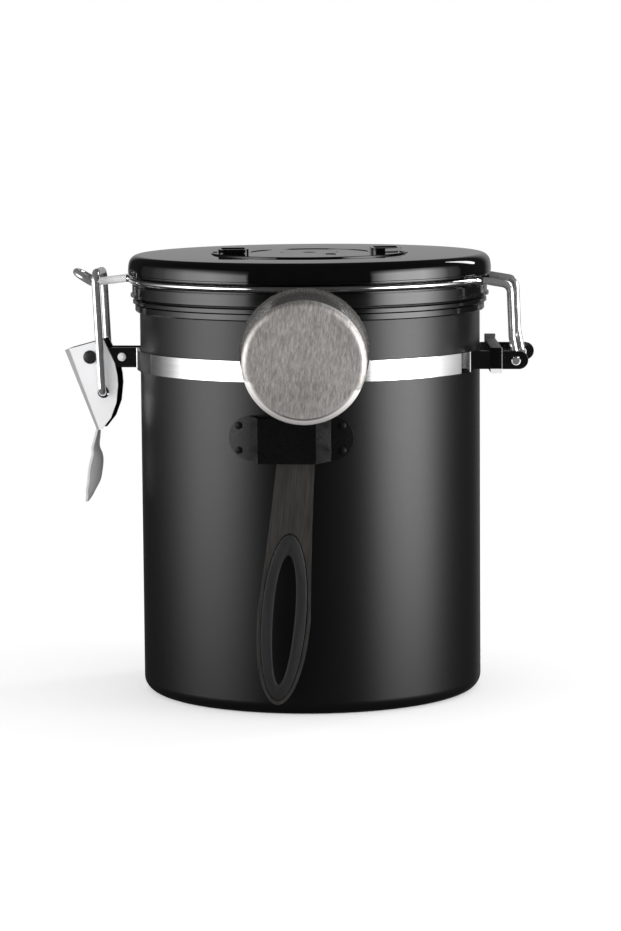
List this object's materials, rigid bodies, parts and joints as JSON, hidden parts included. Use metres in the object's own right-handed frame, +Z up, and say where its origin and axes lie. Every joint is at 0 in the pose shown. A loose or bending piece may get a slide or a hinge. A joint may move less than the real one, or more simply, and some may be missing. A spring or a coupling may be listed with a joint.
{
  "type": "vacuum coffee canister",
  "caption": "Round black steel storage canister with a wire-bail lid, over-centre side latch, date dial and a steel scoop in a front bracket.",
  "frame": {"origin": "centre of the canister's flat base, on the surface it stands on", "axes": "+Z up along the canister's axis, -Y towards the front where the scoop hangs, -X towards the latch and +X towards the hinge"},
  "size_m": [0.1652, 0.1574, 0.1567],
  "materials": {
    "body_black": "satin black coating over steel",
    "collar_black": "black, half gloss",
    "band_steel": "bright, brushed along the band",
    "keeper_dark": "blackened",
    "pivot_dark": "blackened",
    "rivet_bright": "polished",
    "bracket_black": "satin black",
    "bracket_rivets": "satin black",
    "wire_chrome": "polished wire",
    "lid_gloss": "polished black",
    "skirt_black": "black, half gloss",
    "gasket_grey": "matt silicone",
    "inner_steel": "brushed",
    "valve_plastic": "matt black",
    "diaphragm_rubber": "matt silicone",
    "cap_gloss": "polished black",
    "dial_gloss": "polished black",
    "lever_chrome": "bright folded sheet",
    "link_chrome": "polished wire",
    "scoop_steel": "brushed, with a bright rounded edge",
    "handle_steel": "dark brushed with bright edges",
    "grip_black": "matt silicone"
  },
  "bodies": {
    "canister": {"canister_body": "body_black", "neck_collar": "collar_black", "clamp_band_front": "band_steel", "clamp_band_rear": "band_steel", "hinge_keeper": "keeper_dark", "lever_pivot_pin": "pivot_dark", "clamp_rivet": "rivet_bright", "scoop_bracket": "bracket_black", "bracket_rivet_1": "bracket_rivets", "bracket_rivet_2": "bracket_rivets", "bracket_rivet_3": "bracket_rivets", "bracket_rivet_4": "bracket_rivets"},
    "lid": {"bail_ring": "wire_chrome", "lid_top_shell": "lid_gloss", "lid_skirt_ring": "skirt_black", "lid_gasket": "gasket_grey", "lid_inner_plate": "inner_steel", "valve_housing": "valve_plastic", "valve_diaphragm": "diaphragm_rubber", "valve_cap": "cap_gloss"},
    "dial": {"date_dial": "dial_gloss"},
    "lever": {"latch_lever": "lever_chrome"},
    "link": {"latch_link": "link_chrome"},
    "scoop": {"scoop_bowl": "scoop_steel", "scoop_handle": "handle_steel", "scoop_grip": "grip_black"}
  },
  "joints": [
    {"name": "lid_hinge", "type": "hinge", "parent": "canister", "child": "lid", "pos_m": [0.074, 0, 0.1181], "axis": [0, 1, 0], "range_deg": [0, 110]},
    {"name": "lever_swing", "type": "hinge", "parent": "canister", "child": "lever", "pos_m": [-0.078, 0, 0.1179], "axis": [0, 1, 0], "range_deg": [0, 120]},
    {"name": "link_swing", "type": "hinge", "parent": "lever", "child": "link", "pos_m": [-0.0734, 0, 0.1054], "axis": [0, 1, 0], "range_deg": [-90, 0]},
    {"name": "dial_turn", "type": "hinge", "parent": "lid", "child": "dial", "pos_m": [0, 0, 0.1545], "axis": [0, 0, 1], "continuous": true},
    {"name": "scoop_lift", "type": "slide", "parent": "canister", "child": "scoop", "axis": [0.04, 0, 0.9992], "range_m": [0, 0.112]}
  ],
  "couplings": [
    {"joint": "link_swing", "follows": "lever_swing", "ratio": -0.75}
  ]
}
